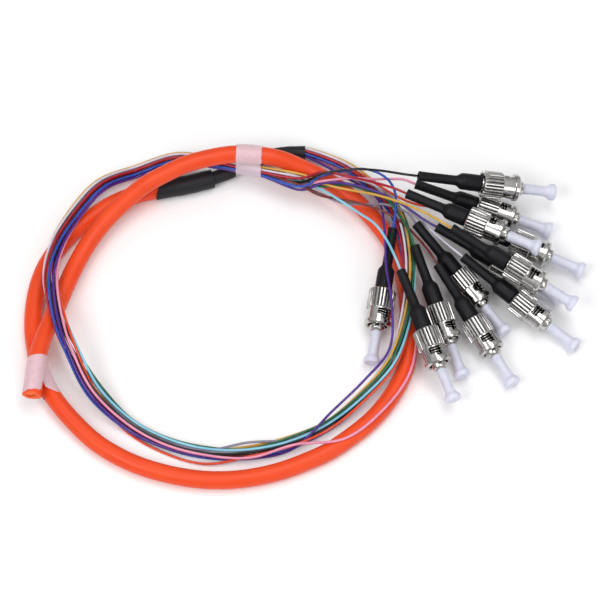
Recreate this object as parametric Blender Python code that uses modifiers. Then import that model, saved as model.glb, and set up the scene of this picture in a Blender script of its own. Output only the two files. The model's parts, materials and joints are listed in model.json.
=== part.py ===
"""Twelve-fibre multimode pigtail: a coiled orange jacketed cable, a heat-shrunk breakout,
twelve coloured tight-buffered fibres that follow the coil once more, and twelve ST plugs
with knurled bayonet nuts and dust caps. Two tape wraps hold the coil.

Metres, +Z up, floor at z = 0, origin under the middle of the coil and its plugs."""
import math

import bpy
import bmesh
import numpy as np
from mathutils import Matrix, Vector

MM = 0.001

# Cable, breakout and fibres
JACKET_DIAMETER = 0.0062
FIBRE_DIAMETER = 0.0009
SLEEVE_DIAMETER = 0.0072
SLEEVE_TAPER = 0.93
TUBE_DIAMETER = 0.0050
CLEARANCE = 0.0003
FIBRE_CLEARANCE = 0.00015

# Tape wraps: middle and run of each band in millimetres of the plan, and its width
TAPE_THICKNESS = 0.0004
TAPE_SIDES = 20
TAPE_STATIONS = 6
TAPE_REACH = 15.0
TOP_TAPE_CENTRE = (-18.0, 50.0)
TOP_TAPE_RUN = (1.0, -0.06)
TOP_TAPE_WIDTH = 9.0
LEFT_TAPE_CENTRE = (-90.5, -34.5)
LEFT_TAPE_RUN = (0.12, -1.0)
LEFT_TAPE_WIDTH = 12.0

# Plug, measured along its axis from the rear of the boot
NECK_DIAMETER = 0.0035
NECK_LENGTH = 0.0145
GRIP_DIAMETER = 0.0060
GRIP_LENGTH = 0.0085
GRIP_TAPER = 0.0006
BARREL_DIAMETER = 0.0048
COLLAR_DIAMETER = 0.0062
COLLAR_LENGTH = 0.0020
RING_DIAMETER = 0.0054
RING_REACH = 0.0016
FERRULE_DIAMETER = 0.0025
FERRULE_REACH = 0.0070

# Coupling nut
NUT_DIAMETER = 0.0095
KNURL_LENGTH = 0.0072
NUT_WAIST_DIAMETER = 0.0083
NUT_WAIST_LENGTH = 0.0044
NUT_RIM_LENGTH = 0.0018
NUT_WEB = 0.0016
NUT_PLAY = 0.00035
SLOT_WIDTH = 0.0017
SLOT_MARGIN = 0.0005
SLOT_SWEEP = math.radians(40)
SLOT_CUT_START = 0.001

# Dust cap
CAP_DIAMETER = 0.0037
CAP_WALL_CLEARANCE = 0.00016
CAP_BODY_LENGTH = 0.0095
CAP_FLANGE_DIAMETER = 0.0059
CAP_FLANGE_LENGTH = 0.0024

NUT_STEPS = 14
BODY_STEPS = 10
CAP_STEPS = 8

# Sides of the round cords
JACKET_SIDES = 10
SLEEVE_SIDES = 12
TUBE_SIDES = 10
FIBRE_SIDES = 8

# Point of the plan, in millimetres, that becomes the origin
PLAN_CENTRE = (2.2, -7.3)

NUT_LENGTH = KNURL_LENGTH + NUT_WAIST_LENGTH + NUT_RIM_LENGTH
BOOT_LENGTH = NECK_LENGTH + GRIP_LENGTH
NUT_START = BOOT_LENGTH + CLEARANCE
NUT_END = NUT_START + NUT_LENGTH
RING_END = NUT_END + RING_REACH
CAP_START = RING_END + CLEARANCE
CAP_LENGTH = CAP_BODY_LENGTH + CAP_FLANGE_LENGTH
PLUG_LENGTH = CAP_START + CAP_LENGTH
RIM_MIDDLE = NUT_END - NUT_RIM_LENGTH / 2

# The fibres run as a loose rope: a ring of nine round a core of three
RING_COUNT = 9
CORE_COUNT = 3
FIBRE_PITCH = FIBRE_DIAMETER + FIBRE_CLEARANCE
CORE_RADIUS = FIBRE_PITCH / math.sqrt(CORE_COUNT)
RING_RADIUS = (CORE_RADIUS * math.cos(math.pi / RING_COUNT)
               + math.sqrt(FIBRE_PITCH ** 2 - (CORE_RADIUS * math.sin(math.pi / RING_COUNT)) ** 2))
ROPE_RADIUS = RING_RADIUS + FIBRE_DIAMETER / 2

# Heights of the jacket's underside above the floor, in millimetres
WRAP_GAP = 2 * CLEARANCE
UNDER_TAPE = (TAPE_THICKNESS + WRAP_GAP + CLEARANCE / 2) / MM
ON_STRAND = UNDER_TAPE + (JACKET_DIAMETER + CLEARANCE) / MM
ON_TUBE = UNDER_TAPE + (TUBE_DIAMETER + 2 * ROPE_RADIUS + 3 * CLEARANCE) / MM
IN_SLEEVE = (SLEEVE_DIAMETER - JACKET_DIAMETER) / 2 / MM

# Jacket from its cut end round the coil to the breakout: x, y and height of its underside
CUT_STRAND = [
    (-92, -43, ON_STRAND), (-91.5, -38, ON_STRAND), (-91, -33, ON_STRAND),
    (-90, -25, ON_STRAND - 0.4), (-88, -17, 5.8), (-85, -8, 4.4), (-79, 9, 3.4),
    (-74, 19, 4.2), (-69, 26, 5.8)]
TOP_STRAND = [
    (-63, 32, 7.6), (-57, 36.6, ON_TUBE - 0.8), (-51, 40.6, ON_TUBE - 0.2),
    (-40, 46.6, ON_TUBE), (-27, 50.2, ON_TUBE), (-17, 50.6, ON_TUBE),
    (-7, 49.6, ON_TUBE - 1.6)]
FLOOR_STRAND = [
    (0, 48.2, 6.2), (7, 45.6, 4.2), (14, 41.7, 2.2), (23, 34, 0.5), (29, 26, 0), (34, 17, 0),
    (37, 4, 0), (38, -9, 0), (38, -19, 0), (36, -30, 0), (31, -40, 0), (24, -49, 0),
    (14, -57.5, 0), (7, -62, 0), (-7, -68, 0), (-21, -71, 0), (-35, -71, 0), (-49, -68, 0),
    (-60, -63.5, 0), (-70, -57, 0), (-79, -48, UNDER_TAPE / 2), (-84, -41.5, UNDER_TAPE),
    (-88, -35, UNDER_TAPE), (-90.5, -28, UNDER_TAPE), (-92, -20, UNDER_TAPE / 2), (-93, -10, 0),
    (-92, 2, 0), (-89, 12, 0), (-85, 19, 0), (-79, 26.5, 0), (-69, 35, 0), (-62, 39, 0),
    (-56, 41, IN_SLEEVE / 2), (-50, 42.4, IN_SLEEVE)]
JACKET_POINTS = 60

# Breakout: the heat-shrunk sleeve and the thinner tube that the fibres leave
SLEEVE_ROUTE = [(-49.5, 42.5), (-45, 43.4), (-40, 44.3), (-31, 46.8)]
SLEEVE_POINTS = 8
TUBE_ROUTE = [(-30.6, 47), (-25, 49.3), (-18, 53), (-10, 56.2), (-4, 57.2), (1.8, 57.3)]
TUBE_POINTS = 14

# Middle of the fibre bundle, from the mouth of the tube clockwise to the top tape
BUNDLE_ROUTE = [
    (2.7, 57.3), (5.6, 57.1), (10, 55.6), (21, 49), (30.5, 38), (36, 24), (38, 10), (37.8, -2),
    (36, -15), (31, -30), (22.8, -40), (7, -52), (-9, -58.5), (-26, -61), (-42, -58),
    (-56, -51.5), (-73, -37), (-80, -23), (-84, -12), (-86.5, 0), (-86.5, 10),
    (-84, 20), (-79, 30), (-71.8, 40), (-63.5, 47.5), (-52.5, 52), (-40, 52.5),
    (-28, 50), (-21, 48.2), (-13, 46.6), (-6, 44.6), (0, 42.6)]

# The rope round the coil: share of its length, turn in degrees, and how far it spreads
ROPE_STATIONS = [(0, -140, 1.0), (0.10, -110, 1.3), (0.21, -60, 1.2), (0.32, 0, 1.15),
                 (0.46, 40, 1.1), (0.60, 80, 1.4), (0.75, 200, 1.5), (0.87, 220, 1.25),
                 (0.95, 235, 1.0), (1.0, 240, 1.0)]
RING_COLOURS = ["rose", "orange", "aqua", "green", "yellow", "white", "red", "blue", "violet"]
CORE_COLOURS = ["black", "slate", "brown"]

# Two fibres stray from the rope on its outer side: share of its length and distance
STRAYS = {
    "rose": [(0, 0), (0.18, 0), (0.24, 4), (0.32, 7), (0.38, 6), (0.44, 0), (1, 0)],
    "orange": [(0, 0), (0.38, 0), (0.44, 2.4), (0.50, 3.0), (0.56, 1.6), (0.62, 0), (1, 0)],
}
STRAY_FREE = 2.0

# The violet fibre leaves the rope at first and hangs inside the coil over a plug
VIOLET_LOOP = [(6.5, 55.1), (10.5, 52.4), (15, 47.5), (22, 42), (28.5, 35.5), (29.5, 27),
               (29.5, 13), (31, -2), (32, -12), (31, -22), (27.5, -31)]
VIOLET_JOINS = 0.36

# Ways from the top tape to the rear of the plugs
TAILS = {
    "black": [(6, 43), (13, 42.5), (22, 42), (30, 39)],
    "red": [(6, 43), (13, 43.2), (21, 41), (29, 36.5)],
    "rose": [(6, 42), (13, 42), (24, 43), (33, 42.8)],
    "orange": [(6, 43.5), (14, 46), (20, 46.5), (27, 42.5), (33, 38), (41, 33.8)],
    "violet": [(6, 42), (14, 41), (24, 38), (34, 33), (41, 27.5)],
    "yellow": [(6, 41), (15, 39.5), (27, 34.5), (38, 28)],
    "white": [(6, 42.5), (16, 43.6), (26, 42.5), (33, 38), (40, 31), (45.6, 23)],
    "slate": [(5, 40), (11, 37), (18, 33.4), (25, 33), (32.5, 32.5)],
    "brown": [(5, 39.5), (10, 36.5), (15.5, 34), (25, 31.5), (34, 26.5), (40.5, 20)],
    "green": [(6, 41.5), (17, 41), (26, 38), (32.5, 32), (35.5, 26)],
    "aqua": [(5, 40.5), (9.5, 37.2), (17.5, 31), (24, 25.8), (29.5, 18)],
    "blue": [(5, 43), (10.5, 44.4), (20, 46), (27, 45.5), (32, 40), (34, 33)],
}

# Plugs: number, fibre, x and y of the nut's rim, heading of the nose, and how far the nose
# points down, in degrees
PLUGS = [
    (1, "black", 75.6, 38.0, 2, 17),
    (2, "rose", 74.5, 30.2, -17, 9),
    (3, "red", 70.0, 18.0, -24, 3),
    (4, "orange", 85.8, 14.8, -23, 7),
    (5, "violet", 78.6, 6.0, -30, 8),
    (6, "yellow", 83.0, -0.6, -30, 12),
    (7, "white", 84.5, -11.2, -38, 11),
    (8, "slate", 62.6, -3.0, -52, 8),
    (9, "brown", 66.2, -22.6, -59, 9),
    (10, "green", 51.5, -18.3, -71, 9),
    (11, "aqua", 47.6, -30, -69, 9),
    (12, "blue", 27.0, -12.5, -99, 8),
]

# Facets by which the nut of each plug is turned, so that a bayonet slot of it faces up
NUT_TURNS = [1, 2, 2, 3, 2, 3, 3, 2, 3, 2, 3, 2]

# Plugs, by number, and the fibres to them, by colour, in the order in which they are laid
LAYING = [12, 10, 8, 9, 11, 7, 5, 4, 2, "violet loop", "slate", "brown", "green", "white",
          "violet", "orange", "rose", "aqua", "blue", 6, 3, 1, "yellow", "red", "black"]

# Fine points in each span of a smooth curve, and steps in millimetres at which cords and
# plugs are laid and read
SPAN_POINTS = 24
BALL_SPACING = 0.5
LAYING_STEP = 0.4
READING_STEP = 0.2
MERGE_DISTANCE = 0.00001

FIBRE_SPACING = 15.0
TAIL_SPACING = 8.5
MAX_SLOPE = 0.35
BOOT_LEAD = 5.0

# Settling of the laid fibres: turns, how far each turn goes, spacing of the balls that stand
# for what lies still, and the points at the mouth and at the boot that stay where they are
SETTLING_TURNS = 50
SETTLING_STEP = 0.9
STILL_SPACING = 0.9
MOUTH_POINTS = 1
BOOT_POINTS = 2

COLOURS = {
    "jacket": (0.86, 0.13, 0.03), "black_shrink": (0.012, 0.012, 0.016),
    "tape": (0.78, 0.70, 0.74), "boot": (0.012, 0.012, 0.018), "nickel": (0.60, 0.60, 0.62),
    "cap": (0.76, 0.76, 0.86), "blue": (0.02, 0.10, 0.42), "orange": (0.75, 0.16, 0.02),
    "green": (0.01, 0.20, 0.10), "brown": (0.12, 0.04, 0.03), "slate": (0.25, 0.25, 0.32),
    "white": (0.75, 0.72, 0.78), "red": (0.50, 0.01, 0.03), "black": (0.01, 0.01, 0.01),
    "yellow": (0.80, 0.50, 0.10), "violet": (0.08, 0.03, 0.25), "rose": (0.85, 0.35, 0.48),
    "aqua": (0.25, 0.62, 0.80),
}
ROUGHNESS = {"jacket": 0.38, "black_shrink": 0.55, "tape": 0.6, "boot": 0.45, "nickel": 0.25,
             "cap": 0.4}
FIBRE_ROUGHNESS = 0.4
METALS = ["nickel"]


def clear_scene():
    for obj in list(bpy.data.objects):
        bpy.data.objects.remove(obj, do_unlink=True)


def new_collection(name):
    collection = bpy.data.collections.new(name)
    bpy.context.scene.collection.children.link(collection)
    return collection


def material(name):
    made = bpy.data.materials.get(name)
    if made is None:
        made = bpy.data.materials.new(name)
        made.use_nodes = True
        shader = made.node_tree.nodes["Principled BSDF"]
        shader.inputs["Base Color"].default_value = (*COLOURS[name], 1.0)
        shader.inputs["Roughness"].default_value = ROUGHNESS.get(name, FIBRE_ROUGHNESS)
        shader.inputs["Metallic"].default_value = 1.0 if name in METALS else 0.0
    return made


def on_plan(x, y, z=0.0):
    """Millimetres of the plan to metres round the origin."""
    return Vector(((x - PLAN_CENTRE[0]) * MM, (y - PLAN_CENTRE[1]) * MM, z * MM))


def smooth_curve(points):
    """Fine points of a smooth curve through the given ones, by Catmull-Rom spans."""
    knots = np.array(points, dtype=float)
    first = 2 * knots[0] - knots[1]
    last = 2 * knots[-1] - knots[-2]
    padded = np.vstack([first, knots, last])
    share = np.linspace(0, 1, SPAN_POINTS, endpoint=False)[:, None]
    spans = []
    for a, b, c, d in zip(padded, padded[1:], padded[2:], padded[3:]):
        spans.append(0.5 * (2 * b + (c - a) * share + (2 * a - 5 * b + 4 * c - d) * share ** 2
                            + (3 * b - a - 3 * c + d) * share ** 3))
    return np.vstack(spans + [knots[-1:]])


def along(points, distances):
    """Points at the given distances along a fine curve."""
    steps = np.linalg.norm(np.diff(points, axis=0), axis=1)
    reached = np.concatenate([[0], np.cumsum(steps)])
    return np.column_stack([np.interp(distances, reached, column) for column in points.T])


def length_of(points):
    return float(np.linalg.norm(np.diff(points, axis=0), axis=1).sum())


def evenly(points, count):
    fine = smooth_curve(points)
    return along(fine, np.linspace(0, length_of(fine), count))


def outward_normals(path):
    """Level normals of a path, to the left of its run, which is outwards on this coil."""
    run = np.gradient(path[:, :2], axis=0)
    run /= np.linalg.norm(run, axis=1)[:, None]
    return np.column_stack([-run[:, 1], run[:, 0]])


class Pile:
    """What has been laid so far, as balls along each piece, in millimetres."""

    def __init__(self):
        self.balls = np.empty((0, 4))

    def add(self, path, radii, spacing=BALL_SPACING):
        count = max(2, int(length_of(path) / spacing))
        steps = np.linspace(0, length_of(path), count)
        centres = along(path, steps)
        sizes = np.interp(np.linspace(0, 1, count), np.linspace(0, 1, len(radii)), radii)
        self.balls = np.vstack([self.balls, np.column_stack([centres, sizes])])

    def height_over(self, places, radius, clearance):
        """Lowest height at which a ball of this radius clears the floor and the pile."""
        reach = self.balls[None, :, 3] + radius + clearance
        apart = ((places[:, None, :] - self.balls[None, :, :2]) ** 2).sum(axis=2)
        lift = np.sqrt(np.clip(reach ** 2 - apart, 0, None))
        heights = np.where(apart < reach ** 2, self.balls[None, :, 2] + lift, radius)
        return np.maximum(heights.max(axis=1, initial=radius), radius)


def lay_cord(plan, pile, radius, start, end, leaving=0):
    """Heights of a cord's points, laid over the pile between two given end heights.

    The first spans, as many as leaving says, are still in what the cord comes out of."""
    heights = np.full(len(plan), radius)
    for i in range(leaving, len(plan) - 1):
        count = max(2, int(np.linalg.norm(plan[i + 1] - plan[i]) / LAYING_STEP))
        places = plan[i] + (plan[i + 1] - plan[i]) * np.linspace(0, 1, count)[:, None]
        needed = pile.height_over(places, radius, FIBRE_CLEARANCE / MM).max()
        heights[i] = max(heights[i], needed)
        heights[i + 1] = max(heights[i + 1], needed)
    if start is not None:
        heights[0] = start
    if end is not None:
        heights[-1] = end
    spans = np.linalg.norm(np.diff(plan, axis=0), axis=1)
    for i in range(1, len(plan) - 1):
        heights[i] = max(heights[i], heights[i - 1] - MAX_SLOPE * spans[i - 1])
    for i in range(len(plan) - 2, 0, -1):
        heights[i] = max(heights[i], heights[i + 1] - MAX_SLOPE * spans[i])
    return heights


def plug_radius(distance):
    """Outer radius of a whole plug at a distance from the rear of its boot."""
    ends = [(NECK_LENGTH, NECK_DIAMETER), (BOOT_LENGTH, GRIP_DIAMETER),
            (NUT_START + KNURL_LENGTH, NUT_DIAMETER),
            (NUT_END - NUT_RIM_LENGTH, NUT_WAIST_DIAMETER), (NUT_END, NUT_DIAMETER),
            (RING_END, RING_DIAMETER), (CAP_START + CAP_BODY_LENGTH, CAP_DIAMETER)]
    for end, diameter in ends:
        if distance <= end:
            return diameter / 2
    return CAP_FLANGE_DIAMETER / 2


class PlugPlace:
    """Where a plug lies: the rear of its boot and the way its nose points, in millimetres."""

    def __init__(self, x, y, heading, tilt, pile):
        level = math.cos(math.radians(tilt))
        self.axis = np.array([level * math.cos(math.radians(heading)),
                              level * math.sin(math.radians(heading)),
                              -math.sin(math.radians(tilt))])
        rim = RIM_MIDDLE / MM
        steps = np.arange(BALL_SPACING, PLUG_LENGTH / MM, BALL_SPACING)
        self.radii = np.array([plug_radius(step * MM) / MM for step in steps])
        places = np.array([x, y]) + (steps - rim)[:, None] * self.axis[:2]
        needed = np.array([pile.height_over(place[None, :], radius, CLEARANCE / MM)[0]
                           for place, radius in zip(places, self.radii)])
        at_rim = (needed - (steps - rim) * self.axis[2]).max()
        self.rear = np.array([x, y, at_rim]) - rim * self.axis
        self.path = self.rear + steps[:, None] * self.axis
        pile.add(self.path, self.radii)

    def point(self, distance):
        return self.rear + distance / MM * self.axis

    def matrix(self, distance):
        """World placement whose Z axis runs to the nose."""
        turn = Vector(self.axis).to_track_quat("Z", "Y").to_matrix().to_4x4()
        return Matrix.Translation(on_plan(*self.point(distance))) @ turn


def jacket_route():
    """Centreline of the jacket, and the numbers of the points at its high strand's ends."""
    radius = JACKET_DIAMETER / 2 / MM
    points = CUT_STRAND + TOP_STRAND + FLOOR_STRAND
    fine = smooth_curve([(x, y, lift + radius) for x, y, lift in points])
    reached = np.linspace(0, length_of(fine), JACKET_POINTS)
    route = along(fine, reached)
    ends = []
    for knots in (len(CUT_STRAND) - 1, len(CUT_STRAND) + len(TOP_STRAND)):
        ends.append(int(np.searchsorted(reached, length_of(fine[:knots * SPAN_POINTS]))))
    return route, *ends


def level_route(points, count, height):
    """A route of a given number of points on a level, in millimetres."""
    flat = evenly(points, count)
    return np.column_stack([flat, np.full(count, height)])


def between(stations, shares):
    """Smooth values at shares of the rope's length, from a list of (share, value)."""
    fine = smooth_curve(stations)
    return np.interp(shares, fine[:, 0], fine[:, 1])


def rope_slots(shares):
    """Offsets outwards and upwards of each fibre in the rope, in millimetres."""
    turn = np.radians(between([(share, turned) for share, turned, loose in ROPE_STATIONS], shares))
    spread = between([(share, loose) for share, turned, loose in ROPE_STATIONS], shares)
    slots = {}
    for colours, radius, start in ((RING_COLOURS, RING_RADIUS, 0.0),
                                   (CORE_COLOURS, CORE_RADIUS, math.pi / RING_COUNT)):
        for i, colour in enumerate(colours):
            angle = turn + start + 2 * math.pi * i / len(colours)
            slots[colour] = (radius / MM * np.cos(angle) * spread,
                             radius / MM * np.sin(angle))
    return slots


def lay_rope(pile):
    """Routes of the twelve fibres once round the coil, from the tube to the top tape."""
    fine = smooth_curve(BUNDLE_ROUTE)
    total = length_of(fine)
    count = round(total / FIBRE_SPACING) + 1
    shares = np.linspace(0, 1, count)
    middle = along(fine, shares * total)
    normals = outward_normals(middle)
    mouth = UNDER_TAPE + TUBE_DIAMETER / 2 / MM
    heights = lay_cord(middle, pile, ROPE_RADIUS / MM, mouth, None, 1)
    fibre_radius = FIBRE_DIAMETER / 2 / MM
    routes = {}
    for colour, (outwards, upwards) in rope_slots(shares).items():
        stray = np.clip(between(STRAYS.get(colour, [(0, 0), (1, 0)]), shares), 0, None)
        plan = middle + normals * (outwards + stray)[:, None]
        laid = lay_cord(plan, pile, fibre_radius, None, None, 1)
        loose = np.clip(stray / STRAY_FREE, 0, 1)
        in_rope = heights + upwards
        route_heights = np.where(loose > 0, np.maximum(laid, in_rope * (1 - loose)
                                                       + laid * loose), in_rope)
        routes[colour] = np.column_stack([plan, route_heights])
    return routes, shares


def violet_route(in_rope, shares, pile):
    """The violet fibre over the plugs inside the coil, then in the rope."""
    kept = in_rope[shares > VIOLET_JOINS]
    loop = smooth_curve([in_rope[0, :2]] + VIOLET_LOOP + [kept[0, :2], kept[1, :2]])
    loop = loop[:-SPAN_POINTS - 1]
    spread = round(length_of(loop) / FIBRE_SPACING)
    plan = along(loop, np.linspace(0, length_of(loop), spread + 1))
    heights = lay_cord(plan, pile, FIBRE_DIAMETER / 2 / MM, in_rope[0, 2], kept[0, 2], 1)
    return np.vstack([np.column_stack([plan, heights])[:-1], kept])


def tail_pass(colour, last_points, plug):
    """Plan of one fibre from the top tape to the rear of its boot."""
    rear = plug.point(-CLEARANCE)
    lead = rear - BOOT_LEAD * plug.axis
    fine = smooth_curve([last_points[-2], last_points[-1]] + TAILS[colour]
                        + [lead[:2], rear[:2]])
    fine = fine[SPAN_POINTS:]
    bend = along(fine, [length_of(fine) - BOOT_LEAD])[0]
    fine = smooth_curve([last_points[-2], last_points[-1]] + TAILS[colour] + [bend])
    fine = fine[SPAN_POINTS:]
    count = max(3, round(length_of(fine) / TAIL_SPACING) + 1)
    plan = along(fine, np.linspace(0, length_of(fine), count))
    return np.vstack([plan[:-1], lead[:2], rear[:2]]), lead[2], rear[2]


def nearest_points(a, b, c, d):
    """Shares along segments a-b and c-d at which each pair of them is nearest."""
    run, other, apart = b - a, d - c, a - c
    aa, ee, bb = (run * run).sum(1), (other * other).sum(1), (run * other).sum(1)
    cc, ff = (run * apart).sum(1), (other * apart).sum(1)
    here = np.clip((bb * ff - cc * ee) / np.maximum(aa * ee - bb * bb, 1e-9), 0, 1)
    there = np.clip((bb * here + ff) / ee, 0, 1)
    return np.clip((bb * there - cc) / aa, 0, 1), there


def settle(routes, still):
    """Pushes laid fibres off each other and off the still balls where they cut into them."""
    pitch, radius = FIBRE_PITCH / MM, FIBRE_DIAMETER / 2 / MM
    counts = [len(route) for route in routes.values()]
    owner = np.repeat(np.arange(len(counts)), counts)
    points = np.vstack(list(routes.values()))
    first = np.flatnonzero(owner[:-1] == owner[1:])
    free = np.ones((len(points), 1))
    for start, end in zip(np.cumsum([0] + counts[:-1]), np.cumsum(counts)):
        free[start:start + MOUTH_POINTS] = 0
        free[end - BOOT_POINTS:end] = 0
    left, right = np.triu_indices(len(first), 1)
    strangers = owner[first[left]] != owner[first[right]]
    left, right = left[strangers], right[strangers]
    for turn in range(SETTLING_TURNS):
        a, b = points[first], points[first + 1]
        middle, half = (a + b) / 2, np.linalg.norm(b - a, axis=1) / 2
        shift = np.zeros_like(points)
        reach = half[left] + half[right] + pitch
        near = ((middle[left] - middle[right]) ** 2).sum(1) < reach ** 2
        i, j = left[near], right[near]
        s, t = nearest_points(a[i], b[i], a[j], b[j])
        apart = (a[i] + (b[i] - a[i]) * s[:, None]) - (a[j] + (b[j] - a[j]) * t[:, None])
        gap = np.linalg.norm(apart, axis=1)
        push = np.clip(pitch - gap, 0, None)[:, None] / 2 * apart / np.maximum(gap, 1e-6)[:, None]
        for ends, share, way in ((i, s, 1), (j, t, -1)):
            np.add.at(shift, first[ends], way * push * (1 - share)[:, None])
            np.add.at(shift, first[ends] + 1, way * push * share[:, None])
        span, ball = np.nonzero(((middle[:, None] - still[None, :, :3]) ** 2).sum(2)
                                < (half[:, None] + still[None, :, 3] + pitch) ** 2)
        run = b[span] - a[span]
        share = np.clip(((still[ball, :3] - a[span]) * run).sum(1) / (run * run).sum(1), 0, 1)
        apart = a[span] + run * share[:, None] - still[ball, :3]
        gap = np.linalg.norm(apart, axis=1)
        wanted = still[ball, 3] + radius + FIBRE_CLEARANCE / MM
        deepest = np.clip(wanted - gap, 0, None)
        push = deepest[:, None] * apart / np.maximum(gap, 1e-6)[:, None]
        order = np.argsort(-deepest)
        spans, kept = np.unique(span[order], return_index=True)
        kept = order[kept]
        np.add.at(shift, first[spans], push[kept] * (1 - share[kept])[:, None])
        np.add.at(shift, first[spans] + 1, push[kept] * share[kept][:, None])
        points += free * shift * SETTLING_STEP
        points[:, 2] = np.maximum(points[:, 2], radius)
    edges = np.cumsum(counts)[:-1]
    return dict(zip(routes, np.split(points, edges)))


def lay_everything():
    """Lays jacket, fibres and plugs on each other. Returns all routes and plug places."""
    pile = Pile()
    jacket, low, high = jacket_route()
    radius = [JACKET_DIAMETER / 2 / MM]
    tube_radius = TUBE_DIAMETER / 2 / MM
    sleeve = level_route(SLEEVE_ROUTE, SLEEVE_POINTS, SLEEVE_DIAMETER / 2 / MM)
    tube = level_route(TUBE_ROUTE, TUBE_POINTS, UNDER_TAPE + tube_radius)
    pile.add(jacket[:low], radius)
    pile.add(jacket[high:], radius)
    pile.add(tube, [tube_radius])
    fibre_radius = [FIBRE_DIAMETER / 2 / MM]
    routes, shares = lay_rope(pile)
    for colour, route in routes.items():
        pile.add(route[shares > VIOLET_JOINS] if colour == "violet" else route, fibre_radius)
    plugs = {}
    plug_of = {}
    for item in LAYING:
        if item == "violet loop":
            routes["violet"] = violet_route(routes["violet"], shares, pile)
            pile.add(routes["violet"], fibre_radius)
        elif item in routes:
            route = routes[item]
            plan, lead_height, rear_height = tail_pass(item, route[:, :2], plug_of[item])
            heights = lay_cord(plan[:-1], pile, fibre_radius[0], route[-1, 2], lead_height, 1)
            tail = np.column_stack([plan, np.append(heights, rear_height)])
            pile.add(tail, fibre_radius)
            routes[item] = np.vstack([route, tail[1:]])
        else:
            number, colour, x, y, heading, tilt = PLUGS[item - 1]
            plugs[number] = plug_of[colour] = PlugPlace(x, y, heading, tilt, pile)
    still = Pile()
    still.add(jacket, radius, STILL_SPACING)
    still.add(tube, [tube_radius], STILL_SPACING)
    for place in plugs.values():
        still.add(place.path, place.radii, STILL_SPACING)
    return jacket, sleeve, tube, settle(routes, still.balls), plugs


def tube_object(name, route, diameter, slot, collection, sides, widths=None):
    """A round cord, sleeve or tube along a route given in millimetres of the plan."""
    data = bpy.data.curves.new(name, "CURVE")
    data.dimensions = "3D"
    data.bevel_depth = diameter / 2
    data.bevel_resolution = sides // 2 - 2
    data.use_fill_caps = True
    spline = data.splines.new("POLY")
    spline.points.add(len(route) - 1)
    for i, place in enumerate(route):
        spline.points[i].co = (*on_plan(*place), 1.0)
        spline.points[i].radius = 1.0 if widths is None else widths[i]
    obj = bpy.data.objects.new(name, data)
    obj.data.materials.append(slot)
    collection.objects.link(obj)
    return obj


def turned_object(name, profile, slot, collection, steps, ring=False):
    """A profile of (radius, height) down the outer side, turned round the Z axis."""
    mesh = bpy.data.meshes.new(name)
    form = bmesh.new()
    points = [form.verts.new((radius, 0, height)) for radius, height in profile]
    for a, b in zip(points, points[1:]):
        form.edges.new((a, b))
    if ring:
        form.edges.new((points[-1], points[0]))
    form.to_mesh(mesh)
    form.free()
    mesh.materials.append(slot)
    obj = bpy.data.objects.new(name, mesh)
    collection.objects.link(obj)
    screw = obj.modifiers.new("turn", "SCREW")
    screw.steps = steps
    screw.render_steps = steps
    screw.use_merge_vertices = True
    screw.merge_threshold = MERGE_DISTANCE
    screw.use_smooth_shade = False
    return obj


def body_profile():
    """Ferrule, barrel and boot of a plug, from its tip to the rear of the boot."""
    ferrule, ring = FERRULE_DIAMETER / 2, RING_DIAMETER / 2
    barrel, collar = BARREL_DIAMETER / 2, COLLAR_DIAMETER / 2
    grip, neck = GRIP_DIAMETER / 2, NECK_DIAMETER / 2
    ring_rear = RING_END - 2 * RING_REACH
    collar_rear = NUT_START + NUT_WEB + CLEARANCE
    collar_front = collar_rear + COLLAR_LENGTH
    return [(0, RING_END + FERRULE_REACH), (ferrule, RING_END + FERRULE_REACH),
            (ferrule, RING_END), (ring, RING_END), (ring, ring_rear), (barrel, ring_rear),
            (barrel, collar_front), (collar, collar_front), (collar, collar_rear),
            (barrel, collar_rear), (barrel, BOOT_LENGTH), (grip, BOOT_LENGTH),
            (grip, NECK_LENGTH + GRIP_TAPER), (neck, NECK_LENGTH), (neck, 0), (0, 0)]


def nut_profile():
    """Section of the coupling nut, down its outer side and up its bore."""
    outer, waist = NUT_DIAMETER / 2, NUT_WAIST_DIAMETER / 2
    rear_bore = BARREL_DIAMETER / 2 + NUT_PLAY
    bore = COLLAR_DIAMETER / 2 + NUT_PLAY
    knurl = KNURL_LENGTH
    rim = NUT_LENGTH - NUT_RIM_LENGTH
    return [(outer, NUT_LENGTH), (outer, rim), (waist, rim), (waist, knurl), (outer, knurl),
            (outer, 0), (rear_bore, 0), (rear_bore, NUT_WEB), (bore, NUT_WEB),
            (bore, NUT_LENGTH)]


def cap_profile():
    """Section of the dust cap, from its closed flange down to its mouth and up the bore."""
    flange, body = CAP_FLANGE_DIAMETER / 2, CAP_DIAMETER / 2
    bore = FERRULE_DIAMETER / 2 + CAP_WALL_CLEARANCE
    bore_end = FERRULE_REACH + CLEARANCE
    return [(0, CAP_LENGTH), (flange, CAP_LENGTH), (flange, CAP_BODY_LENGTH),
            (body, CAP_BODY_LENGTH), (body, 0), (bore, 0), (bore, bore_end), (0, bore_end)]


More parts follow.
